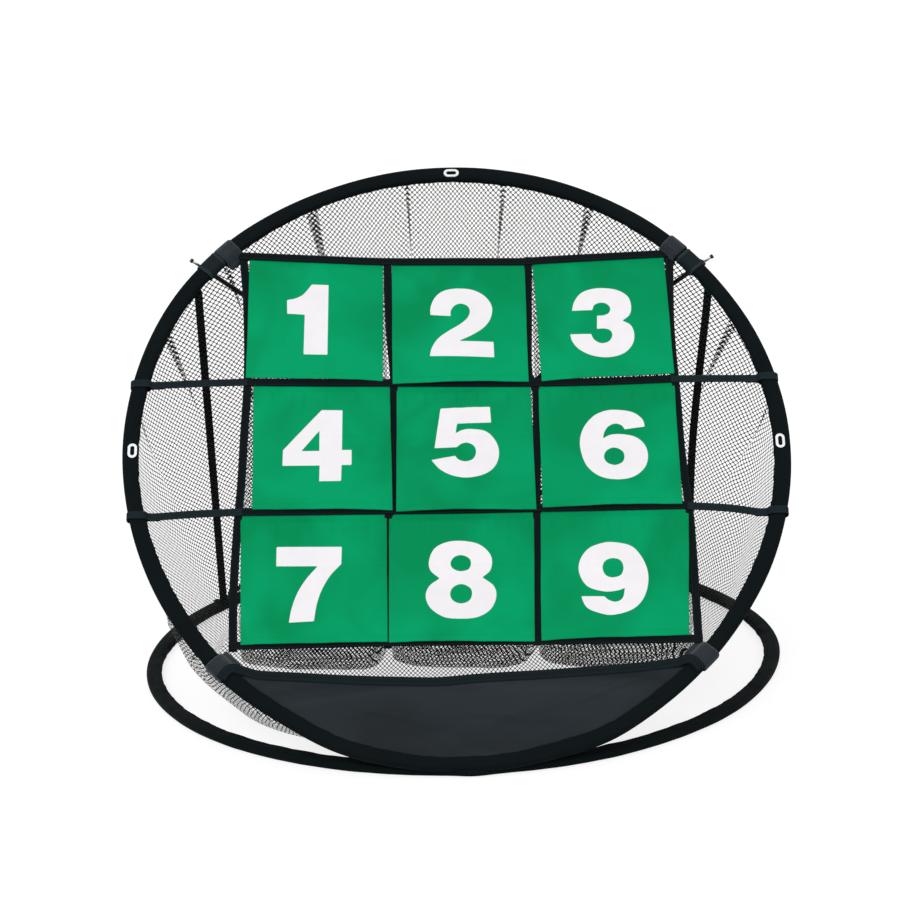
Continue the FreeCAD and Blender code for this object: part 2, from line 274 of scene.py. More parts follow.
def fill(tree, inputs, sets):
    """Gives inputs their values: a link where the value is another node's output."""
    for key, value in sets.items():
        if isinstance(value, bpy.types.NodeSocket):
            tree.links.new(value, inputs[key])
        else:
            inputs[key].default_value = value


def add(tree, kind, sets, **props):
    """One shader node, with its properties and inputs. Gives its outputs."""
    node = tree.nodes.new("ShaderNode" + kind)
    for key, value in props.items():
        setattr(node, key, value)
    fill(tree, node.inputs, sets)
    return node.outputs


def calc(tree, operation, *values):
    """A Math node's result for one to three numbers or links."""
    return add(tree, "Math", dict(enumerate(values)), operation=operation)[0]


def blend_colour(tree, share, *colours):
    """A colour between two, by share."""
    first, second = ((*c, 1.0) if isinstance(c, tuple) else c for c in colours)
    return add(tree, "Mix", {0: share, 6: first, 7: second}, data_type="RGBA")[2]


def ramp(tree, value, low, high, out_low=0.0, out_high=1.0):
    """Value carried from one range to another, with its ends held."""
    return add(tree, "MapRange", {0: value, 1: low, 2: high, 3: out_low, 4: out_high})[0]


def scaled(tree, colour, *factors):
    """A colour or vector times one or more numbers."""
    for factor in factors:
        colour = add(tree, "VectorMath", {0: colour, "Scale": factor}, operation="SCALE")[0]
    return colour


def noise(tree, vector, scale, detail, distortion=0.0):
    """Soft noise: its value, then its colour."""
    return add(tree, "TexNoise", {"Vector": vector, "Scale": scale, "Detail": detail,
                                  "Distortion": distortion})


def split(tree, vector):
    """A vector's x, y and z."""
    return add(tree, "SeparateXYZ", {0: vector})


def bump(tree, height, strength, distance, **under):
    """A normal from a height in metres of relief, over another Normal if one is given."""
    return add(tree, "Bump", {"Height": height, "Strength": strength, "Distance": distance,
                              **under})[0]


def group(name, inputs, outputs):
    """An empty shader node group with a vector and numbers in, and numbers out."""
    tree = bpy.data.node_groups.new(name, "ShaderNodeTree")
    tree.interface.new_socket("Vector", in_out="INPUT", socket_type="NodeSocketVector")
    for key, value in inputs.items():
        socket = tree.interface.new_socket(key, in_out="INPUT", socket_type="NodeSocketFloat")
        socket.default_value = value
    for key in outputs:
        tree.interface.new_socket(key, in_out="OUTPUT", socket_type="NodeSocketFloat")
    return tree, tree.nodes.new("NodeGroupInput").outputs, tree.nodes.new("NodeGroupOutput").inputs


def in_pitches(tree, inside, *pitches):
    """The vector's x and y, each divided by its pitch."""
    part = split(tree, inside["Vector"])
    return [calc(tree, "DIVIDE", part[k], inside[key]) for k, key in enumerate(pitches)]


def make_weave():
    """Cloth weave: two sets of rounded threads that pass over and under each other in turn.
    Height is the higher of the two threads, each a sine of its own coordinate raised by the
    other's. Painted shade is the height carried to a factor that darkens the paint between the
    threads and lightens it a little on their crowns."""
    tree, inside, out = group("cloth weave", {"Along": 0.001, "Across": 0.001}, ("Height", "Painted shade"))
    waves = [calc(tree, "SINE", calc(tree, "MULTIPLY", x, math.pi))
             for x in in_pitches(tree, inside, "Along", "Across")]
    weft, warp = (calc(tree, "ABSOLUTE", wave) for wave in waves)
    lift = calc(tree, "MULTIPLY_ADD", calc(tree, "MULTIPLY", *waves), 0.35, 0.5)
    height = calc(tree, "MAXIMUM", calc(tree, "MULTIPLY", warp, lift),
                  calc(tree, "MULTIPLY", weft, calc(tree, "SUBTRACT", 1.0, lift)))
    # Painted shade: a factor from the height, darker between the threads and a little lighter on
    # their crowns
    fill(tree, out, {"Height": height, "Painted shade": ramp(tree, height, 0.15, 0.7, 0.72, 1.12)})
    return tree


def make_lattice():
    """Knotless netting: two families of slanting threads. A point's distance from the nearest
    thread is its sawtooth distance from a whole number, in each of two slanting coordinates,
    and the threads swell where they cross."""
    tree, inside, out = group("net lattice", {"Across": 0.0055, "Down": 0.0062, "Thread": 0.2},
                              ("Mask", "Height"))
    u, v = in_pitches(tree, inside, "Across", "Down")
    gaps = []
    for operation in ("ADD", "SUBTRACT"):
        tooth = calc(tree, "FRACT", calc(tree, operation, u, v))
        near = calc(tree, "ABSOLUTE", calc(tree, "SUBTRACT", tooth, 0.5))
        gaps.append(calc(tree, "SUBTRACT", 0.5, near))
    small = calc(tree, "MINIMUM", *gaps)
    swell = ramp(tree, calc(tree, "MAXIMUM", *gaps), 0.0, 0.3, 0.09, 0.0)
    half = calc(tree, "ADD", calc(tree, "MULTIPLY", inside["Thread"], 0.5), swell)
    fill(tree, out, {"Mask": calc(tree, "LESS_THAN", small, half),
                     "Height": calc(tree, "SUBTRACT", 1.0, calc(tree, "DIVIDE", small, half))})
    return tree


def make_stitches():
    """A row of stitches: dashes along u where v is within half a thread of the row."""
    tree, inside, out = group("stitch row", {"Row": 0.0, "Pitch": 0.003, "Thread": 0.0007},
                              ("Mask",))
    u, v = split(tree, inside["Vector"])[:2]
    off = calc(tree, "SUBTRACT", calc(tree, "ABSOLUTE", v), inside["Row"])
    on_row = calc(tree, "LESS_THAN", calc(tree, "ABSOLUTE", off),
                  calc(tree, "MULTIPLY", inside["Thread"], 0.5))
    place = calc(tree, "FRACT", calc(tree, "DIVIDE", u, inside["Pitch"]))
    fill(tree, out, {"Mask": calc(tree, "MULTIPLY", on_row, calc(tree, "LESS_THAN", place, 0.74))})
    return tree


def make_patches():
    """Uneven tone: soft noise at one size and half as much of it four times finer, as a factor
    round one."""
    tree, inside, out = group("uneven tone", {"Scale": 12.0, "Amount": 0.1}, ("Factor",))
    broad = noise(tree, inside["Vector"], inside["Scale"], 2.0)[0]
    fine = noise(tree, inside["Vector"], calc(tree, "MULTIPLY", inside["Scale"], 4.0), 3.0)[0]
    both = calc(tree, "MULTIPLY_ADD", fine, 0.5, calc(tree, "SUBTRACT", broad, 0.75))
    twice = calc(tree, "MULTIPLY", inside["Amount"], 2.0)
    fill(tree, out, {"Factor": calc(tree, "MULTIPLY_ADD", both, twice, 1.0)})
    return tree


WEAVE = make_weave()
LATTICE = make_lattice()
STITCHES = make_stitches()
PATCHES = make_patches()


def use(tree, made, vector, **sets):
    """One group placed in a material, with its own values. Gives its outputs."""
    return add(tree, "Group", {"Vector": vector, **sets}, node_tree=made)


def start(name, roughness, specular):
    """A new material: its tree, its shader's inputs, and its UV and object coordinates."""
    material = bpy.data.materials.new(name)
    material.use_nodes = True
    tree = material.node_tree
    shader = tree.nodes["Principled BSDF"].inputs
    fill(tree, shader, {"Roughness": roughness, "Specular IOR Level": specular})
    place = add(tree, "TexCoord", {})
    return material, tree, shader, place["UV"], place["Object"]


def woven(name, colour, along, across, roughness=0.85, specular=0.06, tone=0.25, relief=0.00035,
          row=None, thread=(0.05, 0.07, 0.075), edge=None, fuzz=0.0, tone_scale=14.0):
    """Woven cloth or webbing: weave relief, and painted shade between the threads, from the
    piece's own UV map, uneven tone over the object, a row of stitches, and a painted highlight
    along the bound edges where edge gives its place and colour."""
    material, tree, shader, uv, at = start(name, roughness, specular)
    if fuzz:
        fill(tree, shader, {"Sheen Weight": fuzz, "Sheen Roughness": 0.5})
    cloth = use(tree, WEAVE, uv, Along=along, Across=across)
    patch = use(tree, PATCHES, at, Scale=tone_scale, Amount=tone)[0]
    # Painted shade from the weave: darker between the threads, a little lighter on their crowns
    paint = scaled(tree, colour, cloth["Painted shade"], patch)
    height = cloth["Height"]
    # Painted highlight: the edge colour lightens the bound edges, where light catches their raised
    # lips
    if edge:
        side = calc(tree, "ABSOLUTE", split(tree, uv)[1])
        paint = blend_colour(tree, ramp(tree, side, edge[0], edge[0] + 0.0005), paint, edge[1])
    if row:
        mask = use(tree, STITCHES, uv, Row=row)[0]
        paint = blend_colour(tree, mask, paint, thread)
        height = calc(tree, "MULTIPLY_ADD", mask, 1.2, height)
    fill(tree, shader, {"Base Color": paint, "Roughness": calc(tree, "MULTIPLY", patch, roughness),
                        "Normal": bump(tree, height, 0.7, relief)})
    return material


def netting(name, across, down, thread):
    """Open netting: the lattice is the alpha, with the threads' own relief and tone, and noise
    bends the lattice a little."""
    material, tree, shader, uv, at = start(name, 0.7, 0.15)
    wander = add(tree, "VectorMath", {0: noise(tree, uv, 45.0, 1.0)[1], 1: (0.5, 0.5, 0.5)},
                 operation="SUBTRACT")[0]
    where = add(tree, "VectorMath", {0: uv, 1: scaled(tree, wander, 0.0022)}, operation="ADD")[0]
    lattice = use(tree, LATTICE, where, Across=across, Down=down, Thread=thread)
    patch = use(tree, PATCHES, at, Scale=9.0, Amount=0.12)[0]
    paint = scaled(tree, (0.0075, 0.0090, 0.0095), patch)
    fill(tree, shader, {"Base Color": paint, "Alpha": lattice["Mask"],
                        "Normal": bump(tree, lattice["Height"], 0.5, 0.0006)})
    return material


def flap_cloth(name, printed):
    """Coated green polyester: soft lighter and darker patches, painted shade that darkens each
    flap towards its top, a fine weave with painted shade between its threads, and on the front
    the white figure, where the print mark (a distance in millimetres, above zero inside the
    figure) is above zero."""
    material, tree, shader, uv, at = start(name, 0.66, 0.04)
    # Painted shade: the share of the lighter green falls with height above the flap's foot, so
    # each flap darkens towards its top
    down = calc(tree, "MULTIPLY_ADD", split(tree, uv)[1], -0.9, 0.07)
    patches_and_painted_shade = calc(tree, "ADD", noise(tree, at, 9.0, 2.0, 0.6)[0], down)
    paint = blend_colour(tree, ramp(tree, patches_and_painted_shade, 0.36, 0.62), (0.0, 0.262, 0.090),
                         (0.0, 0.345, 0.132))
    cloth = use(tree, WEAVE, uv, Along=0.0007, Across=0.0007)
    # Painted shade from the weave: a little darker between the threads
    paint = scaled(tree, paint, ramp(tree, cloth["Painted shade"], 0.7, 1.15, 0.96, 1.03))
    hem = use(tree, STITCHES, uv, Row=0.0075, Pitch=0.0028, Thread=0.0006)[0]
    paint = blend_colour(tree, calc(tree, "MULTIPLY", hem, 0.5), paint, (0.0, 0.2, 0.09))
    height = calc(tree, "MULTIPLY_ADD", hem, -0.6, cloth["Height"])
    if printed:
        ink = ramp(tree, add(tree, "Attribute", {}, attribute_name="print")["Fac"], -0.2, 0.2)
        patch = use(tree, PATCHES, at, Scale=16.0, Amount=0.05)[0]
        paint = blend_colour(tree, ink, paint, scaled(tree, (0.885, 0.865, 0.89), patch))
        height = calc(tree, "MULTIPLY_ADD", ink, 0.8, height)
        fill(tree, shader, {"Roughness": ramp(tree, ink, 0.0, 1.0, 0.62, 0.45)})
    fill(tree, shader, {"Base Color": paint, "Normal": bump(tree, height, 0.5, 0.00012)})
    return material


def creased_nylon(name):
    """Dark creased nylon: fine weave with painted shade between its threads, and paler soft
    streaks of painted sheen along the creases.
    """
    material, tree, shader, uv, at = start(name, 0.6, 0.14)
    stretch = add(tree, "Mapping", {"Vector": at, "Scale": (3.0, 9.0, 9.0),
                                    "Rotation": (0.0, 0.12, 0.0)})[0]
    # One noise raises the creases and paints them paler: a painted sheen along the crease ridges
    crease_and_painted_sheen = noise(tree, stretch, 1.6, 3.0, 0.8)[0]
    paint = blend_colour(tree, ramp(tree, crease_and_painted_sheen, 0.38, 0.66), (0.0062, 0.0102, 0.0135),
                         (0.0165, 0.0235, 0.0295))
    cloth = use(tree, WEAVE, uv, Along=0.0009, Across=0.0009)
    soft = bump(tree, crease_and_painted_sheen, 0.35, 0.004)
    # Painted shade from the weave: darker between the threads
    fill(tree, shader, {"Base Color": scaled(tree, paint, cloth["Painted shade"]), "Sheen Weight": 0.03,
                        "Normal": bump(tree, cloth["Height"], 0.5, 0.0002, Normal=soft)})
    return material


def metal(name, colour, roughness):
    """Metal with fine drawing lines and faint tarnish, on object coordinates."""
    material, tree, shader, _, at = start(name, roughness, 0.5)
    lines = noise(tree, at, 900.0, 2.0)[0]
    rough = ramp(tree, lines, 0.3, 0.7, roughness - 0.1, roughness + 0.1)
    patch = use(tree, PATCHES, at, Scale=120.0, Amount=0.12)[0]
    fill(tree, shader, {"Base Color": scaled(tree, colour, patch), "Metallic": 1.0,
                        "Roughness": rough,
                        "Normal": bump(tree, lines, 0.15, 0.0001)})
    return material


def moulded(name, colour, roughness):
    """Moulded plastic or a coated rod: a faint grain and scuffs."""
    material, tree, shader, _, at = start(name, roughness, 0.3)
    patch = use(tree, PATCHES, at, Scale=70.0, Amount=0.25)[0]
    grain = noise(tree, at, 1500.0, 2.0)[0]
    fill(tree, shader, {"Base Color": scaled(tree, colour, patch),
                        "Roughness": calc(tree, "MULTIPLY", patch, roughness),
                        "Normal": bump(tree, grain, 0.2, 0.0001)})
    return material


SLEEVE_CLOTH = woven("sleeve cloth", (0.0040, 0.0072, 0.0083), 0.0011, 0.0008, row=0.0035,
                     thread=(0.012, 0.019, 0.021))
WEBBING = woven("black webbing", (0.0046, 0.0080, 0.0094), 0.0012, 0.0009, row=0.0036,
                thread=(0.014, 0.021, 0.024))
SIDE_WEBBING = woven("side webbing", (0.0115, 0.0205, 0.0245), 0.0012, 0.0009, row=0.0036,
                     thread=(0.02, 0.032, 0.036))
CORNER_TAPE = woven("napped tape", (0.0215, 0.0300, 0.0375), 0.0006, 0.0006, roughness=0.95,
                    specular=0.05, tone=0.35, relief=0.0005, fuzz=0.25, tone_scale=60.0)
# The keeper tape's lighter edge colour is a painted highlight along its raised bound edges
KEEPER_TAPE = woven("bound tape", (0.012, 0.019, 0.023), 0.001, 0.0009, tone=0.2, relief=0.0003,
                    edge=(0.0118, (0.03, 0.043, 0.052)), row=0.0108)
EDGE_TAPE = woven("apron edge tape", (0.0085, 0.014, 0.0165), 0.0011, 0.0009, relief=0.0003,
                  row=0.0030, thread=(0.016, 0.023, 0.026))
NET = netting("net", 0.00544, 0.0075, 0.19)
POCKET_MESH = netting("pocket mesh", 0.0050, 0.0050, 0.25)
GREEN_PRINTED = flap_cloth("green cloth with figure", True)
GREEN = flap_cloth("green cloth", False)
NYLON = creased_nylon("apron nylon")
SPRING_STEEL = metal("spring steel", (0.42, 0.43, 0.45), 0.35)
EYELET_METAL = metal("bright eyelet metal", (0.8, 0.81, 0.82), 0.28)
PIN_STEEL = metal("pin steel", (0.78, 0.81, 0.84), 0.25)
RING_METAL = metal("small ring metal", (0.5, 0.53, 0.56), 0.3)
ROD = moulded("rod", (0.008, 0.009, 0.010), 0.45)
PLASTIC = moulded("black plastic", (0.014, 0.016, 0.018), 0.5)


def finish_piece(piece, materials, node, body=None):
    """Gives a piece its materials, hides the CAD node that it stands for, and lets it ride on a
    body."""
    for material in materials:
        piece.data.materials.append(material)
    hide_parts(node)
    if body:
        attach(piece, body)


# Camera
camera_data = bpy.data.cameras.new("camera")
camera_data.lens = LENS
camera_data.sensor_width = FILM_WIDTH
camera = new_object("camera", camera_data)
camera.matrix_world = Matrix([[CAM_RIGHT[k], CAM_UP[k], -CAM_AHEAD[k], CAM_AT[k]]
                              for k in range(3)] + [[0, 0, 0, 1]])
bpy.context.scene.camera = camera


# Hoop sleeves

def sleeve(name, place, seed, hills, pull=()):
    """A hoop's fabric sleeve: a rounded section carried round the hoop. Its half width swells
    and shrinks a little with the angle, small puckers run across the inner edge, and a stitched
    groove lies in both faces near it. pull draws the inner edge outward."""
    count, per_section = 840, 64
    angle = np.linspace(0, 2 * np.pi, count, endpoint=False)[:, None]
    section = rounded_outline(SLEEVE_W / 2, SLEEVE_D / 2, SLEEVE_ROUND, per_section)
    out, up = section[None, :, 0], section[None, :, 1]
    inner = np.clip(-out / (SLEEVE_W / 2), 0, 1)
    swell = 0.00035 * ripple(angle, (5, 9, 14, 23), seed)
    pucker = 0.00022 * ripple(angle, (61, 97, 143, 211), seed + 1, 0.3) * inner ** 2
    groove = 0.0007 * hill(out + 0.0052, 0.0011) * (np.abs(up) > 0.004)
    slack = 0.0003 * ripple(angle, (31, 47, 73), seed + 2, 0.5)
    radius = RING + out + swell * np.sign(out) * (np.abs(out) / 0.01) + pucker
    radius = radius + outward(np.degrees(angle), hills)
    radius = radius + outward(np.degrees(angle), pull) * np.clip(0.5 - out / SLEEVE_W, 0, 1)
    height = up + np.sign(up) * (slack * (0.3 + inner) - groove) * (np.abs(up) / 0.006) ** 2
    grid = np.stack([radius * np.cos(angle), radius * np.sin(angle),
                     np.broadcast_to(height, (count, per_section))], -1)
    lap = run_along(lapped(section))
    lap = np.abs(lap - lap[-1] / 2)
    turn = np.linspace(0, 2 * np.pi * RING, count + 1)
    uv = np.stack(np.broadcast_arrays(turn[:, None], lap[None, :]), -1)
    return surface(name, place(grid), uv, round_i=True, round_j=True)


finish_piece(sleeve("ground_ring_sleeve", on_ground, 3, GROUND_BULGES), [SLEEVE_CLOTH],
             "base_hoop_sleeve", "base")
finish_piece(sleeve("front_sleeve", on_front, 8, FRONT_BULGES, FOOT_PULL), [SLEEVE_CLOTH],
             "front_hoop_sleeve", "front")


# Webbing of the target frame, as (across, up) points in millimetres

STRAP_OUT = 0.75
STRAP_STEP = 0.003
STRAP_THICK = 0.0015
UPRIGHT_WIDTH = 0.010
CROSS_WIDTH = 0.0105
LOOPED_WIDTH = 0.0103
UPRIGHTS = {
    "left": [(-260.5, 273), (-254.5, 200), (-252, 105), (-255, 20), (-257, -40), (-261, -110),
             (-263.5, -190), (-262.5, -259)],
    "mid_left": [(-81.5, 265), (-80, 180), (-75, 108), (-74.5, 90), (-75.5, 60), (-77, -60),
                 (-80, -84), (-83, -105), (-84, -258)],
    "mid_right": [(93.5, 266), (91, 180), (89, 105), (95, 86), (98, 60), (94, -60),
                  (93.5, -84), (92.5, -120), (88.4, -257)],
    "right": [(270, 270), (267, 210), (265.5, 150), (268, 60), (269, -5), (274, -85),
              (275, -150), (275, -257)],
}
CROSSES = {
    "top": [(-266, 273.5), (-175, 267.4), (-86, 262), (10, 260.3), (88, 259), (110, 260.6),
            (190, 264.3), (274, 268)],
    "bottom": [(-267.6, -252.2), (-180, -251.5), (-84, -250.8), (0, -251.2), (90, -252),
               (190, -252.2), (280, -252.6)],
    "upper": [(-262, 94.5), (-170, 92), (-85, 90.4), (0, 88.6), (90, 87.2), (175, 87.6),
              (272, 90.2)],
    "lower": [(-263, -80.6), (-165, -81.2), (-85, -81.6), (0, -82.2), (88, -81.7), (175, -81.4),
              (279, -80.6)],
}
# The side ends of the middle straps: side, height at the hoop, and where each leaves the frame
SIDE_STRAPS = {
    "upper": ((-1, 91.5, 252, 94.0), (1, 88.5, 262, 89.5)),
    "lower": ((-1, -85.5, 255, -81.0), (1, -91.5, 272, -82.0)),
}


def frame_strap(name, points, side, wide_way, width):
    """A strap of the frame, on the front side (1) or the back side (-1) of its plane."""
    knots = [(a * MM, b * MM, side * STRAP_OUT * MM) for a, b in points]
    return band(name, smooth_line(knots, STRAP_STEP), wide_way, width, STRAP_THICK, on_front)


def loop_end(side, b, frame_a, frame_b):
    """Points (across, up, out) in millimetres of a side strap: from the frame, over the front
    of the sleeve, round its outer edge, and back behind to the inner edge, where it is sewn to
    itself."""
    centre = math.sqrt((RING / MM) ** 2 - b * b)
    centre += bulge(math.degrees(math.atan2(b, side * centre))) / MM
    stretch = 1 / math.cos(math.asin(b * MM / RING))
    shape = [(-13.6, 1.3), (-11.4, 4.6), (-8.2, 7.0), (-3, 7.2), (3, 7.2), (7.6, 6.6),
             (10.8, 3.6), (11.3, 0), (10.8, -3.6), (7.6, -6.6), (3, -7.2), (-3, -7.2),
             (-7.6, -6.6), (-10.9, -3.8), (-12.2, -1.4), (-17, -1.0), (-27, -0.9)]
    halfway = (side * (frame_a * 0.55 + centre * 0.45), frame_b * 0.6 + b * 0.4, 0.9)
    return ([(side * frame_a, frame_b, 1.0), halfway, (side * (centre - 24), b, 0.8)]
            + [(side * (centre + x * stretch), b, f) for x, f in shape])


for name, points in UPRIGHTS.items():
    strap = frame_strap("upright_" + name, points, -1, X_AXIS, UPRIGHT_WIDTH)
    finish_piece(strap, [WEBBING], "frame_strap_" + name, "front")
for name, points in CROSSES.items():
    ends = SIDE_STRAPS.get(name, ())
    width = LOOPED_WIDTH if ends else CROSS_WIDTH
    parts = [frame_strap("cross_strap", points, 1, Y_AXIS, width)]
    parts[0].data.materials.append(WEBBING)
    for end in ends:
        line = smooth_line(loop_end(*end), 0.0016 / MM) * MM
        parts.append(band("side_strap", line, Y_AXIS, 0.010, 0.0012, on_front))
        parts[-1].data.materials.append(SIDE_WEBBING)
    finish_piece(joined("cross_strap_" + name, parts), (), "frame_strap_" + name,
                 "front")


# Hook-and-loop straps, keepers, pads and seam tape, wrapped round the sleeves

# How far the middles of the keepers' tape and of the pads' and seam's lie from the sleeve
KEEPER_GAP = 0.00085
TAPE_GAP = 0.00045
# Where each corner strap sits: angle in degrees, and the radius that its tab reaches in to
CORNERS = {"tr": (45.0, 373.0), "tl": (135.2, 370.5), "bl": (225.4, 370.0), "br": (315.6, 370.0)}
# The wrap of a corner strap round the sleeve, as (radius, out) in millimetres
CORNER_WRAP = ((376.5, 0.2), (378.6, 4.6), (383.5, 7.1), (390.0, 7.25), (396.0, 7.1), (400.2, 4.6),
               (401.1, 0), (400.2, -4.6), (396.0, -7.1), (390.0, -7.25), (383.5, -7.1),
               (379.2, -5.6), (376.5, -4.7), (372.5, -4.3), (369.0, -4.2))
LUG = ((398.5, -5.4), (401.0, -6.0), (403.0, -6.5), (404.6, -5.4), (404.0, -3.8))
# Angles round the hoops: the tape that keeps each pole, the pole's eye, and the pole's foot
KEEPER_DEG = {"left": 139.142, "right": 40.733}
EYE_DEG = {"left": 139.692, "right": 39.933}
FOOT_DEG = {"left": 44.0, "right": 142.0}
SEAM_DEG = -90.0


def across_rim(points):
    """(radius, out) points in millimetres as points (out from the centre, rim, height)."""
    return [(radius * MM, 0, out * MM) for radius, out in points]


def sleeve_path(gap, start_deg=0.0, sweep_deg=360.0):
    """Points (out, rim, height) round a sleeve's section at a gap from it, in the order of the
    section's own angle."""
    outline = rounded_outline(SLEEVE_W / 2 + gap, SLEEVE_D / 2 + gap, SLEEVE_ROUND + gap, 72)
    angle = np.degrees(np.arctan2(outline[:, 1] / (SLEEVE_D / SLEEVE_W), outline[:, 0])) % 360
    turn = (angle - start_deg) % 360
    order = np.argsort(turn)
    path = outline[order[turn[order] <= sweep_deg]]
    return np.stack([RING + path[:, 0], np.zeros(len(path)), path[:, 1]], 1)


for corner, (deg, reach) in CORNERS.items():
    tab = ((reach, -2.3), ((reach + 375.5) / 2, -1.9))
    line = smooth_line(across_rim(tab + CORNER_WRAP), 0.0012)
    line[:, 2] += 0.0002 * np.sin(np.arange(len(line)) * 0.35)
    strap = band("corner_strap_%s_tape" % corner, line, Y_AXIS, 0.025, 0.0016,
                 at_rim(on_front, deg, bulge(deg)))
    finish_piece(strap, [CORNER_TAPE], "corner_strap_" + corner, "front")

for side, deg in KEEPER_DEG.items():
    wrap = band("keeper", sleeve_path(KEEPER_GAP), Y_AXIS, 0.0286, 0.0014,
                at_rim(on_front, deg, bulge(deg)), closed=True, lip=0.0004)
    lug = band("lug", smooth_line(across_rim(LUG), 0.0006), Y_AXIS, 0.005, 0.0012,
               at_rim(on_front, EYE_DEG[side]))
    keeper = joined("pole_keeper_%s_tape" % side, [wrap, lug])
    finish_piece(keeper, [KEEPER_TAPE], "pole_keeper_" + side, "front")
    pad = band("pole_pad_%s_tape" % side, sleeve_path(TAPE_GAP, -22, 224), Y_AXIS, 0.0272, 0.0008,
               at_rim(on_ground, FOOT_DEG[side]))
    finish_piece(pad, [KEEPER_TAPE], "pole_pad_" + side, "base")


def at_seam(p):
    """Places the seam's tape on the ground ring, bulging out with it."""
    out = outward(np.degrees(p[..., 1] / RING) + SEAM_DEG, GROUND_BULGES)
    return at_rim(on_ground, SEAM_DEG)(p + np.stack([out, 0 * out, 0 * out], -1))


seam = band("hinge_seam_tape", sleeve_path(TAPE_GAP, -24, 228), Y_AXIS, 0.0408, 0.0008, at_seam)
finish_piece(seam, [SLEEVE_CLOTH], "hinge_binding", "base")


# Figures on the flaps, in millimetres from each flap's centre. The outline runs smoothly
# through each point, and has a corner where a third number, 0, follows
FIGURES = {
    1: [[(-35.5, 34, 0), (-25, 36), (-15, 42), (-5, 55.5, 0), (15.5, 54.5, 0), (14.5, -44, 0),
         (-14.5, -43, 0), (-13.5, 12.5, 0), (-35, 14.5, 0)]],
    2: [[(-36, 10, 0), (-35.5, 21.5), (-30, 35), (-19.5, 44), (-2.5, 47), (16, 44.5), (30.5, 36),
         (39, 23), (39.5, 10.5), (35, -2), (25.5, -12.5), (11.5, -21.5), (-2, -28, 0),
         (40.5, -29.5, 0), (41, -51, 0), (-37.5, -48, 0), (-34.5, -36), (-27, -24), (-14.5, -14),
         (0, -4.5), (9.5, 4.5), (12.5, 14), (9.5, 21.5), (1.5, 25), (-6.5, 22), (-11, 14.5),
         (-11, 7.5, 0)]],
    3: [[(-38.5, 12.5, 0), (-35.5, 25), (-27, 37), (-14, 43), (2, 44.5), (19, 41.5), (31, 32.5),
         (34.5, 19), (32, 6.5), (23, -2, 0), (33, -9), (36.5, -22.5), (33, -36.5), (22, -48),
         (4, -53), (-15.5, -50.5), (-31, -42), (-39.5, -31), (-42, -20.5, 0), (-16.5, -20.5, 0),
         (-13, -28.5), (-4.5, -33.5), (5, -31), (9.5, -22.5), (7, -15.5), (-0.5, -13),
         (-9, -13.5, 0), (-8, 5, 0), (0, 5.5), (6.5, 9), (8.5, 16), (4, 22), (-3.5, 23.5),
         (-11, 20), (-13.5, 13, 0)]],
    4: [[(8, 54, 0), (33, 53.5, 0), (32.5, -1, 0), (44, -1, 0), (44, -21, 0), (32, -21, 0),
         (31.5, -42, 0), (5.5, -42, 0), (6, -21, 0), (-38.5, -20, 0), (-38, 1, 0)],
        [(5.5, 26, 0), (5.5, -1.5, 0), (-16, -1, 0)]],
    5: [[(-25.5, 53.5, 0), (34, 55, 0), (35, 33.5, 0), (-6, 32, 0), (-8, 19, 0), (1, 23.5),
         (13, 24.5), (29, 21), (40, 8), (43.5, -8), (39, -24), (27, -35), (6, -40.5), (-13, -37.5),
         (-27.5, -29), (-37.5, -16.5, 0), (-9, -11.5, 0), (-5, -16.5), (3.5, -19), (12.5, -15.5),
         (16, -6.5), (13.5, 2), (5.5, 6), (-1.5, 4.5), (-7, 0, 0), (-33.5, -0.5, 0)]],
    6: [[(43, 25.5, 0), (18.5, 21.5, 0), (15, 27), (7.5, 29.5), (-1.5, 25.5), (-6.5, 17),
         (-8, 9.5, 0), (0, 14), (13.5, 15), (31, 11), (42, -0.5), (44.5, -16.5), (39, -31.5),
         (25, -42.5), (4.5, -45.5), (-15.5, -40), (-30, -24.5), (-36, 1), (-32, 22.5), (-20, 39),
         (-5.5, 47), (10, 48.5), (29, 45), (40, 36)],
        [(5, -3), (14, -7.5), (16.5, -15), (13.5, -23), (4, -26.5), (-5, -22.5), (-8, -14.5),
         (-4, -6.5)]],
    7: [[(-44, 43, 0), (32.5, 42, 0), (32, 19.5, 0), (19, 4.5), (9, -14.5), (3.5, -33),
         (0.5, -53, 0), (-28.5, -54, 0), (-25.5, -36.5), (-18.5, -16), (-8, 2), (4.5, 17, 0),
         (-44, 18, 0)]],
    8: [[(-3, 46.5), (17.5, 41.5), (30.5, 27), (30, 9.5), (20, -1, 0), (33, -12), (35.5, -26),
         (28.5, -41.5), (13.5, -51), (-6, -53), (-25.5, -50.5), (-41, -39), (-46.5, -24),
         (-42, -11), (-30, -1.5, 0), (-40.5, 9), (-42, 22), (-35.5, 37), (-21.5, 45)],
        [(-5, 28), (4.5, 24), (7, 17), (4, 9.5), (-5.5, 7), (-14, 10.5), (-17, 17), (-13.5, 24.5)],
        [(-5, -9.5), (5, -14), (7.5, -22), (4, -30.5), (-5.5, -34), (-15, -30), (-18, -21.5),
         (-14.5, -13.5)]],
    9: [[(-42.5, -26.5, 0), (-15.5, -27.5, 0), (-10, -32.5), (-1.5, -34.5), (6, -29.5),
         (9, -17, 0), (-0.5, -20.5), (-16.5, -21), (-35, -13.5), (-43.5, 4), (-41.5, 21),
         (-31, 35), (-14.5, 41.5), (-0.5, 42), (20, 36), (33, 17), (37, -5), (31, -28.5),
         (17, -44), (-7, -51), (-25.5, -47), (-37, -40)],
        [(-3.5, 21.5), (5.5, 18), (8.5, 9), (5, -0.5), (-5, -3.5), (-13, 0), (-16, 9.5),
         (-12.5, 18)]],
}
FIGURE_REACH = 4.0


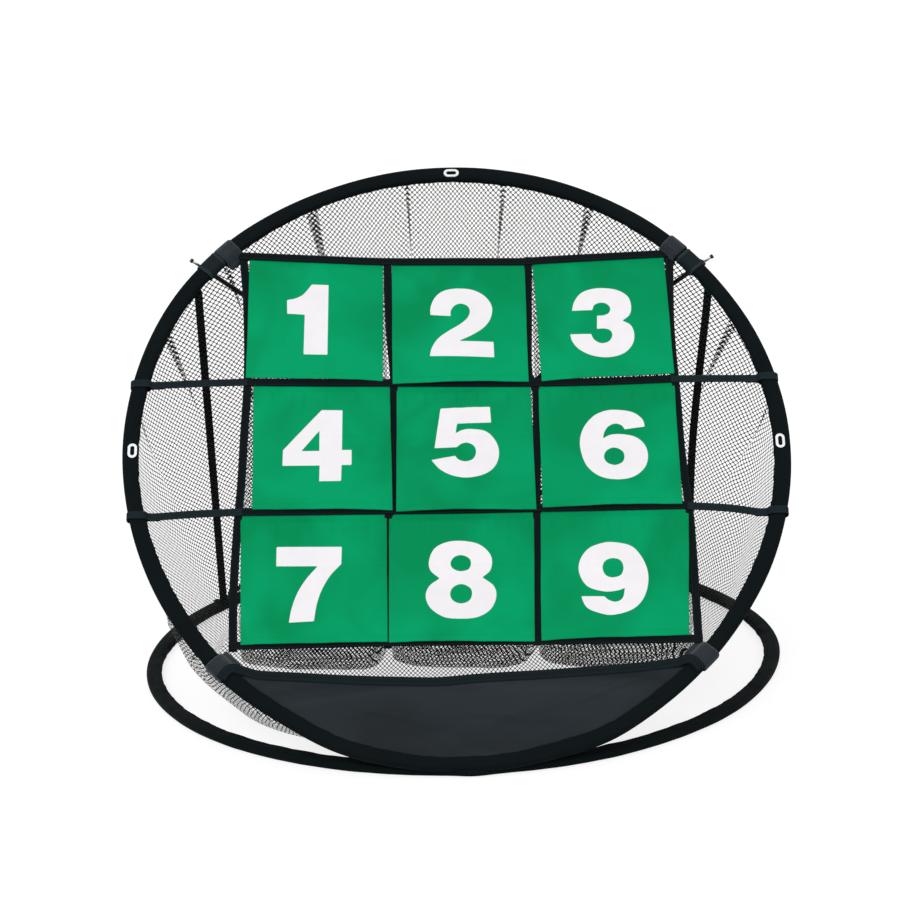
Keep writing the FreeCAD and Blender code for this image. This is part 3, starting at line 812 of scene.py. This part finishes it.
def outline_of(points):
    """A closed outline through points: where both ends of a stretch are corners it is straight,
    and otherwise a cubic whose slope at a smooth point is half the chord between its
    neighbours."""
    p = np.array([q[:2] for q in points], float)
    smooth = np.array([len(q) == 2 for q in points], float)[:, None]
    after, before = np.roll(p, -1, 0), np.roll(p, 1, 0)
    middle_slope = (after - before) / 2
    chord = after - p
    slope_out = smooth * middle_slope + (1 - smooth) * chord
    next_smooth = np.roll(smooth, -1, 0)
    slope_in = next_smooth * np.roll(middle_slope, -1, 0) + (1 - next_smooth) * chord
    return cubics(p, after, slope_out, slope_in, 8)


def inside_distance(figure, x, y):
    """Distance in millimetres from a figure's outline, above zero inside it: the least distance
    to any edge, and inside where a ray to the right crosses the edges an odd number of times."""
    spot = np.stack([x.ravel(), y.ravel()], 1)
    least = np.full(len(spot), 1e9)
    odd = np.zeros(len(spot), bool)
    for points in FIGURES[figure]:
        a = outline_of(points)
        b = np.roll(a, -1, 0)
        ab = b - a
        ap = spot[:, None, :] - a[None]
        t = np.clip((ap * ab).sum(2) / np.maximum((ab * ab).sum(1), 1e-9), 0, 1)
        least = np.minimum(least, np.linalg.norm(ap - t[..., None] * ab, axis=2).min(1))
        spans = (a[None, :, 1] > spot[:, None, 1]) != (b[None, :, 1] > spot[:, None, 1])
        rise = np.where(ab[:, 1] == 0, 1e-9, ab[:, 1])
        cross_x = a[:, 0] + (spot[:, None, 1] - a[:, 1]) * ab[:, 0] / rise
        odd ^= (spans & (cross_x > spot[:, None, 0])).sum(1) % 2 == 1
    signed = np.where(odd, least, -least)
    return np.clip(signed, -FIGURE_REACH, FIGURE_REACH).reshape(x.shape)


# Flaps: corners (top left, top right, bottom right, bottom left) in millimetres

FLAPS = {
    1: ((-253.0, 272.0), (-86.8, 261.0), (-87.6, 92.4), (-254.0, 98.9)),
    2: ((-76.6, 261.2), (88.4, 258.0), (89.4, 88.2), (-75.7, 88.2)),
    3: ((98.3, 261.0), (262.5, 266.5), (266.0, 95.9), (104.5, 88.8)),
    4: ((-244.5, 93.0), (-79.2, 89.4), (-77.7, -82.2), (-244.0, -78.6)),
    5: ((-70.7, 88.8), (91.5, 86.6), (92.8, -84.0), (-73.2, -83.9)),
    6: ((100.8, 86.8), (266.0, 89.2), (266.1, -79.6), (100.2, -81.4)),
    7: ((-256.7, -82.4), (-84.0, -83.0), (-84.5, -251.4), (-254.2, -252.0)),
    8: ((-81.7, -83.2), (90.0, -82.8), (86.1, -253.7), (-82.2, -251.4)),
    9: ((97.7, -80.4), (273.2, -82.4), (264.8, -248.6), (93.6, -252.2)),
}
FLAP_DROP = 168
FLAP_BACK = -0.6
FIGURE_DROP = 3.6
# Lines between the columns and between the rows, and each row's strap
COL_X = (-258.0, -81.333, 95.333, 272.0)
ROW_Y = (265.0, 86.5, -83.5, -253.0)


def flap(number):
    """One hanging flap, worked out over its width x from -1 to 1 and its height y from 0 at the
    top to 1: its corners are joined by straight mixing, its edges wander a little, and its
    distance out is a soft billow plus gathers below the top edge, slow folds, a raised hem at
    the foot and, below the top row, two pressed creases. It comes out from behind the strap
    above it along a smooth step."""
    x = np.linspace(-1, 1, 128)[:, None]
    y = np.linspace(0, 1, 128)[None, :]
    tl, tr, br, bl = (np.array(c) for c in FLAPS[number])
    u = (x + 1) / 2
    row, col = divmod(number - 1, 3)
    a, b = (((1 - u) * tl[k] + u * tr[k]) * (1 - y) + ((1 - u) * bl[k] + u * br[k]) * y
            for k in (0, 1))
    a = a + 0.7 * ripple(3.1 * y, (1, 2.3, 5.1), 10 + number) * 0.5 * (x ** 2)
    b = b + 0.35 * ripple(4 * x, (1, 2.7, 6.1), 30 + number) * y ** 4
    gather = (0.8, 1.5, 1.4)[row]
    waves = ripple(np.pi * x, (5, 8, 13), 50 + number, 0.4)
    top = 0.45 * gather * waves * hill(y * FLAP_DROP - 18, 15)
    bow = np.sin(np.pi * np.clip(y * 0.62 + 0.12, 0, 1))
    billow = (3.2 + 0.5 * (number % 3)) * (1 - x ** 2) * bow
    folds = 0.55 * ripple(2.2 * x + 1.3 * y, (1, 2.2), 70 + number)
    folds = folds + 0.28 * ripple(3.4 * y - 1.9 * x, (1, 2.6, 4.3), 90 + number)
    crease = np.zeros_like(a)
    if row:
        level = y - 0.43 + 0.02 * x
        crease = 0.42 * hill(level, 0.012) + 0.3 * hill(x - 0.05 + 0.03 * y, 0.011)
        crease = crease + 0.6 * np.minimum(np.abs(level), 0.25)
    hem = 0.3 / (1 + np.exp(-(y * 166 - 158) / 0.6))
    f = 1.9 + top + billow + folds * (0.35 + 0.65 * np.sin(np.pi * y)) + crease + hem
    free = np.clip((y * FLAP_DROP - 5.5) / 12, 0, 1)
    f = FLAP_BACK + (f - FLAP_BACK) * free * free * (3 - 2 * free)
    f = np.maximum(f, FLAP_BACK)
    mid_a, mid_b = (COL_X[col] + COL_X[col + 1]) / 2, (ROW_Y[row] + ROW_Y[row + 1]) / 2
    distance = inside_distance(number, a - mid_a, b - mid_b + FIGURE_DROP)
    grid = on_front(np.stack([a, b, f], -1) * MM)
    above_foot = FLAP_DROP * (1 - y) + 0 * x
    uv = np.stack([(a - mid_a) * MM, above_foot * MM], -1)
    piece = surface("flap_%d_cloth" % number, grid, uv, flip=True)
    mark = piece.data.attributes.new("print", "FLOAT", "POINT")
    mark.data.foreach_set("value", distance.astype(np.float32).ravel())
    shell = thicken(piece, 0.0009, -1.0)
    shell.material_offset = 1
    shell.material_offset_rim = 1
    finish_piece(piece, [GREEN_PRINTED, GREEN], "flap_%d" % number,
                 "flap_%d" % number)


for number in range(1, 10):
    flap(number)


# Mesh pockets behind the flaps

# How far the lowest pockets' left and right edges stand aside at the foot, in millimetres
POCKET_ASIDE = {7: (0.0, -5.0), 8: (-4.0, -13.5), 9: (-12.0, 0.0)}
POCKET_DEEP = 59.5


def lengths(grid, axis):
    """Running length of a grid's lines along one axis."""
    step = np.linalg.norm(np.diff(grid, axis=axis), axis=2)
    return np.insert(np.cumsum(step, axis=axis), 0, 0.0, axis=axis)


def pocket(number):
    """One pocket: across the panel a section like a flattened U, whose depth grows from a few
    millimetres at the top to the deepest at the foot, then a floor where the depth runs back to
    nothing. Its lower corners are rounded and gathered, and its back sags a little."""
    row, col = divmod(number - 1, 3)
    left, right = COL_X[col] + 2.0, COL_X[col + 1] - 2.0
    top, foot = ROW_Y[row] - 3, ROW_Y[row + 1] + 0.5
    floor_rise = 12
    turn = np.linspace(0, np.pi, 72)[:, None]
    reach = np.sign(np.cos(turn)) * np.abs(np.cos(turn)) ** 0.50
    depth_share = np.abs(np.sin(turn)) ** 0.52
    v = np.linspace(0, 1, 58)[None, :]
    w = np.linspace(0, 1, 21)[None, 1:]
    up = top + (foot + floor_rise - top) * v
    floor_up = foot + floor_rise * (1 - np.sin(w * np.pi / 2))
    floor_up = floor_up - (2.2, 2.2, 13.5)[row] * np.sin(np.pi * w)
    floor_deep = POCKET_DEEP * np.cos(w * np.pi / 2) ** 0.8
    up = np.concatenate([up, floor_up], 1)
    deepest = np.concatenate([4.0 + (POCKET_DEEP - 4.0) * v ** 1.08, floor_deep], 1)
    corner = np.clip((foot + 26 - up) / 26, 0, 1)
    full = deepest / 60
    half = (right - left) / 2 - 5 * corner ** 2.2 * full
    aside = POCKET_ASIDE.get(number, (0.0, 0.0))
    aside = (1 + reach) / 2 * aside[0] + (1 - reach) / 2 * aside[1]
    a = (left + right) / 2 - reach * half + aside * corner * full
    wrinkle = 1.1 * ripple(turn * 4, (2, 5, 9), 200 + number, 0.5)
    sag = 1.6 * ripple(turn * 2, (1, 2, 3), 230 + number)
    deep = deepest * depth_share + (wrinkle + sag) * depth_share * np.clip(deepest / 25, 0, 1)
    deep = np.minimum(deep, 61.5)
    up = up + 3.5 * np.cos(2 * turn + 0.7 * number) * corner * depth_share * full
    grid = on_front(np.stack([a, up, -1.8 - deep], -1) * MM)
    uv = np.stack([lengths(grid, 0), lengths(grid, 1)], -1)
    piece = surface("pocket_%d_mesh" % number, grid, uv)
    finish_piece(piece, [POCKET_MESH], "pocket_%d" % number, "front")
    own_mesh(piece)


for number in range(1, 10):
    pocket(number)


# Apron and its edge tape, in millimetres on the front plane

APRON_TOP = [(-256, -279.0), (-231, -282.5), (-185, -286), (-127, -290.3), (-70, -293),
             (-27, -294.2), (10, -291.5), (44, -289.5), (92, -287.4), (160, -283.4),
             (206, -280.3), (256, -275.8)]
APRON_HALF = 258.5
APRON_FOOT = 383.2
# Creases: where across and up, slope, width, height and length
APRON_CREASES = ((30, -346, -0.09, 2.6, -1.5, 60), (150, -322, 0.42, 4.5, 1.3, 80),
                 (190, -306, 0.30, 4.0, 1.2, 60), (-170, -318, -0.34, 5.0, 1.3, 80),
                 (-110, -336, -0.22, 4.0, -1.1, 70), (-30, -318, 0.05, 6.0, 0.9, 120),
                 (90, -340, 0.20, 3.4, -1.0, 60), (-215, -303, -0.45, 4.0, 1.0, 40),
                 (10, -362, 0.02, 4.0, 0.9, 90))
# The tape's ends, where it climbs over the sleeve: across, rise, out
TAPE_END = ((246, 0.0, 0.6), (255, 1.6, 4.4), (263, 2.0, 7.4), (270, -3.0, 7.7), (275, -11.0, 7.7))
TAPE_DROP = 6.5


def apron():
    """The apron: from its upper edge, which is a smooth line through the measured heights, down
    to the inside of the sleeve, over x from -1 to 1 and y from 0 to 1. Its distance out is a
    shallow belly plus long soft creases that slant to both ends, each a narrow hill along a
    slanting line. It lies flat behind the tape."""
    x = np.linspace(-1, 1, 300)[:, None]
    y = np.linspace(0, 1, 72)[None, :]
    a = APRON_HALF * x
    edge = smooth_line(APRON_TOP, 4.0)
    upper = np.interp(a, edge[:, 0], edge[:, 1]) - 2.0
    lower = -np.sqrt(APRON_FOOT ** 2 - a ** 2)
    deg = np.degrees(np.arctan2(lower, a))
    lower = np.minimum(lower - (bulge(deg) + outward(deg, FOOT_PULL)) / MM, upper - 0.6)
    b = upper + (lower - upper) * y
    room = np.clip((upper - lower) / 60, 0, 1)
    belly = 2.6 * np.sin(np.pi * y ** 0.8) * room
    creases = np.zeros_like(b)
    for at_a, at_b, slope, width, height, length in APRON_CREASES:
        off = (b - at_b) - slope * (a - at_a)
        creases = creases + height * hill(off, width) * hill(a - at_a, length)
    soft = 0.5 * ripple(a / 60 + 0.02 * b, (1, 2.3, 3.9), 300) * np.sin(np.pi * y)
    behind_tape = np.clip((upper - b - 10.6) / 8.0, 0, 1)
    f = (belly + (creases + soft) * room) * behind_tape
    a = np.broadcast_to(a, b.shape)
    grid = on_front(np.stack([a, b, f], -1) * MM)
    piece = surface("apron_cloth", grid, np.stack([a, b], -1) * MM, flip=True)
    thicken(piece, 0.0008, 0.0)
    finish_piece(piece, [NYLON], "apron", "front")


knots = ([(-a, -285.0 + rise, f) for a, rise, f in TAPE_END[::-1]]
         + [(a, b - TAPE_DROP, 0.0) for a, b in APRON_TOP[1:-1]]
         + [(a, -282.3 + rise, f) for a, rise, f in TAPE_END])
tape = band("apron_edge_tape", smooth_line(np.array(knots) * MM, 0.003), Y_AXIS, 0.0120, 0.0026,
            on_front)
finish_piece(tape, [EDGE_TAPE], "apron_binding", "front")
apron()


# Net bag

NET_MOUTH = 0.3812
NET_TOP = 0.61
NET_FLOOR = 0.322
NET_FLOOR_X = -0.006
NET_FLOOR_Y = 0.036
NET_LIFT = 0.0016
# Gathers where the net is sewn on: angle round the hoop in degrees, width and overlap
# in degrees, and how far down the fold runs as a share of the wall
GATHERS = ((117.5, 2.6, 6.5, 0.55), (98.5, 1.8, 3.4, 0.5), (80, 1.7, 3.6, 0.55),
           (63, 2.4, 5.6, 0.4), (155.5, 2.6, 6.5, 0.7), (173, 1.8, 3.6, 0.6), (26, 2.6, 6.3, 0.7),
           (8, 1.6, 3.2, 0.6), (44, 2.6, 6.0, 0.5), (137, 2.4, 5.2, 0.3), (196, 1.8, 3.6, 0.6),
           (212, 2.2, 5.0, 0.6), (221, 2.4, 5.6, 0.5), (240, 1.9, 4.0, 0.8), (256, 1.6, 3.4, 0.8),
           (-22, 1.8, 3.8, 0.7), (-40, 1.9, 4.2, 0.8), (-60, 1.6, 3.0, 0.8), (-84, 1.8, 3.2, 0.8))


def net_bag():
    """The net: straight lines from the mouth, a circle behind the front sleeve, to a floor
    circle, sagging between them, with a flat rippled floor. The angle round is drawn aside at
    each gather by the slope of a bell curve, so that the net folds over itself there, and less
    so further down, where each fold drifts towards the back. The lattice's coordinates keep its
    rows level: across is the azimuth's arc times its sine or 0.6, whichever is more, added up,
    and down is the height lost times 1.1 or 0.6 of the length, whichever is more, added up."""
    n, m, k = 900, 84, 26
    turn = np.linspace(-np.pi / 2, 1.5 * np.pi, n, endpoint=False)[:, None]
    t = np.linspace(0, 1, m)[None, :]
    aside, ridge, doubled = np.zeros((3, n, m))
    for deg, width, overlap, run in GATHERS:
        drift = 16.0 * math.cos(math.radians(deg)) * t
        off = ((np.degrees(turn) - deg - drift + 180) % 360 - 180) / width
        fold = np.exp(-off ** 2) * np.clip(1 - t / run, 0, 1) ** 0.8
        aside -= np.radians(overlap) * off * fold
        ridge += fold
        doubled += off * fold
    angle = turn + aside
    deg = np.degrees(angle)
    rim = NET_MOUTH + bulge(deg) + outward(deg, FOOT_PULL)
    mouth = on_front(np.stack([rim * np.cos(angle), rim * np.sin(angle),
                               np.full_like(angle, -0.0025)], -1))
    azimuth = np.degrees(turn) % 360
    wide = NET_FLOOR + 0.004 * ripple(turn, (3, 7, 12), 400, 0.5) + 0.027 * hill(azimuth - 235, 22)
    outer = np.stack([np.cos(turn), np.sin(turn), 0 * turn], -1)
    centre = [NET_FLOOR_X, NET_FLOOR_Y, NET_LIFT]
    floor = centre + wide[..., None] * outer
    share = t[..., None]
    wall = mouth * (1 - share) + floor * share
    span = np.linalg.norm(mouth[:, :1] - floor, axis=2)
    slack = np.sin(np.pi * t ** 0.85) * np.clip(span / 0.5, 0.06, 1)
    rear = np.clip(np.sin(turn), 0, 1)
    side = np.clip(-np.sin(turn) + 0.5, 0, 1) * np.abs(np.cos(turn))
    waves = ripple(turn + 0.3 * t, (4, 9, 15), 410, 0.6) * np.clip(span / 0.25, 0.2, 1)
    push = (slack * (-0.016 * rear + 0.012 * side) + 0.005 * np.sin(np.pi * t) * waves
            + 0.0035 * ridge * np.sin(np.pi * np.clip(t * 1.2, 0, 1))
            + 0.024 * hill(azimuth - 217, 24) * np.sin(np.pi * t ** 0.6))
    wall = wall + push[..., None] * outer
    wall[..., 2] = np.maximum(wall[..., 2] - 0.008 * slack * (1 - rear), NET_LIFT)
    r = np.linspace(1, 0.004, k)[None, 1:]
    ripples = (1 + np.sin(9 * turn + 14 * r) * np.cos(5 * turn - 9 * r)) * (1 - r ** 6)
    ground = centre + (wide * r)[..., None] * outer
    ground[..., 2] += 0.0011 * ripples
    grid = np.concatenate([wall, ground], 1)
    ask = np.linspace(-100, 280, 1521)
    arc = np.maximum(np.abs(np.sin(np.radians(ask))), 0.6) * 0.372 * math.radians(ask[1] - ask[0])
    arc = np.cumsum(arc)
    across = np.interp(deg, ask, arc) + 0.007 * doubled
    once_round = np.interp(270, ask, arc) - np.interp(-90, ask, arc)
    across = np.concatenate([across, across[:1] + once_round])
    lap = lapped(wall)
    move = np.diff(lap, axis=1)
    drop = np.maximum(1.1 * np.abs(move[..., 2]), 0.6 * np.linalg.norm(move, axis=2))
    down = np.concatenate([1.1 * (NET_TOP - lap[:, :1, 2]), drop], 1).cumsum(1)
    down = down + 0.003 * lapped(ridge)
    uv = np.concatenate([np.stack([across, down], -1), lapped(ground)[..., :2] * [1.0, 0.5]], 1)
    piece = surface("net_bag_mesh", grid, uv, round_i=True)
    finish_piece(piece, [NET], "net_bag", "front")
    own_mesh(piece)


net_bag()


# Rear stays of webbing between the hoops, each sewn on at both ends and bowed a little:
# degrees up the front hoop and round the ground ring, and (radius, out) or radius in metres

STAY_TOP_DEG = 35.7
STAY_FOOT_DEG = 34.8
STAY_TOP = ((0.3990, -0.0068), (0.3950, -0.0072), (0.3895, -0.0078))
STAY_FOOT = ((0.3835, 0.0128), (0.3915, 0.0128), (0.3985, 0.0128))


def stay_end(points, sign, deg):
    """(radius, out) points at an angle from the hoop's side."""
    return np.array([(sign * r * math.cos(math.radians(deg)), r * math.sin(math.radians(deg)), f)
                     for r, f in points])


for side, sign, bow in (("left", -1, 0.0), ("right", 1, -0.006)):
    high = on_front(stay_end(STAY_TOP, sign, STAY_TOP_DEG))
    low = stay_end(STAY_FOOT, sign, STAY_FOOT_DEG)
    middle = (high[-1] + low[0]) / 2 + np.array([bow, 0.002, -0.002])
    knots = np.vstack([high, high[-1] * 0.93 + low[0] * 0.07, middle,
                       high[-1] * 0.06 + low[0] * 0.94, low])
    stay = band("stay_%s_webbing" % side, smooth_line(knots, 0.004), X_AXIS, 0.010, 0.0014,
                lambda p: p)
    finish_piece(stay, [WEBBING], "stay_" + side)
    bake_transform(stay)


# Finishes of the CAD's own hard pieces

FINISHES = {"eyelets": EYELET_METAL}
for hoop in ("base", "front"):
    FINISHES.update({hoop + "_hoop_wire": SPRING_STEEL, hoop + "_wire_ferrule": SPRING_STEEL})
for side in ("left", "right"):
    pole = "pole_%s_" % side
    FINISHES.update({"pole_eye_" + side: RING_METAL, pole + "pin": PIN_STEEL, pole + "rod": ROD,
                     pole + "cap": PLASTIC, pole + "swivel": PLASTIC, pole + "foot": PLASTIC})
for name, material in FINISHES.items():
    nodes[name].data.materials.clear()
    nodes[name].data.materials.append(material)


# Floor, world and lamps

FLOOR_HALF = 30
FLOOR_HEIGHT = -0.0005


def seen_directly(tree):
    """One for rays from the camera, from reflections and through glass, and otherwise zero."""
    path = add(tree, "LightPath", {})
    return calc(tree, "MAXIMUM", path["Is Camera Ray"],
                calc(tree, "MAXIMUM", path["Is Glossy Ray"], path["Is Transmission Ray"]))


def pale_floor():
    """A plain pale floor that keeps soft shadows: a grey that takes them, with a glow for the
    camera and for reflections that lifts it to white."""
    mesh = bpy.data.meshes.new("floor")
    corners = [(-1, -1), (1, -1), (1, 1), (-1, 1)]
    mesh.from_pydata([(FLOOR_HALF * x, FLOOR_HALF * y, FLOOR_HEIGHT) for x, y in corners], [],
                     [(0, 1, 2, 3)])
    material, tree, shader, _, _ = start("pale floor", 0.9, 0.0)
    glow = calc(tree, "MULTIPLY", seen_directly(tree), 0.80)
    fill(tree, shader, {"Base Color": (0.30, 0.30, 0.30, 1.0), "Emission Color": (1, 1, 1, 1),
                        "Emission Strength": glow})
    mesh.materials.append(material)
    new_object("floor", mesh)


pale_floor()
world = bpy.data.worlds.new("world")
bpy.context.scene.world = world
world.use_nodes = True
tree = world.node_tree
tree.nodes.clear()
soft, white = (add(tree, "Background", {"Color": (1, 1, 1, 1), "Strength": strength})[0]
               for strength in (0.62, 1.0))
mixed = add(tree, "MixShader", {0: seen_directly(tree), 1: soft, 2: white})[0]
add(tree, "OutputWorld", {"Surface": mixed})

# Lamps: strength, spread in degrees and turn in degrees
LAMPS = {"key": (1.15, 25.0, (48, 0, -28)), "fill": (0.45, 50.0, (55, 0, 40))}
for name, (strength, spread, turn) in LAMPS.items():
    lamp = bpy.data.lights.new(name, "SUN")
    lamp.energy = strength
    lamp.angle = math.radians(spread)
    new_object(name, lamp).rotation_euler = [math.radians(v) for v in turn]

bpy.context.scene.view_settings.view_transform = "Standard"
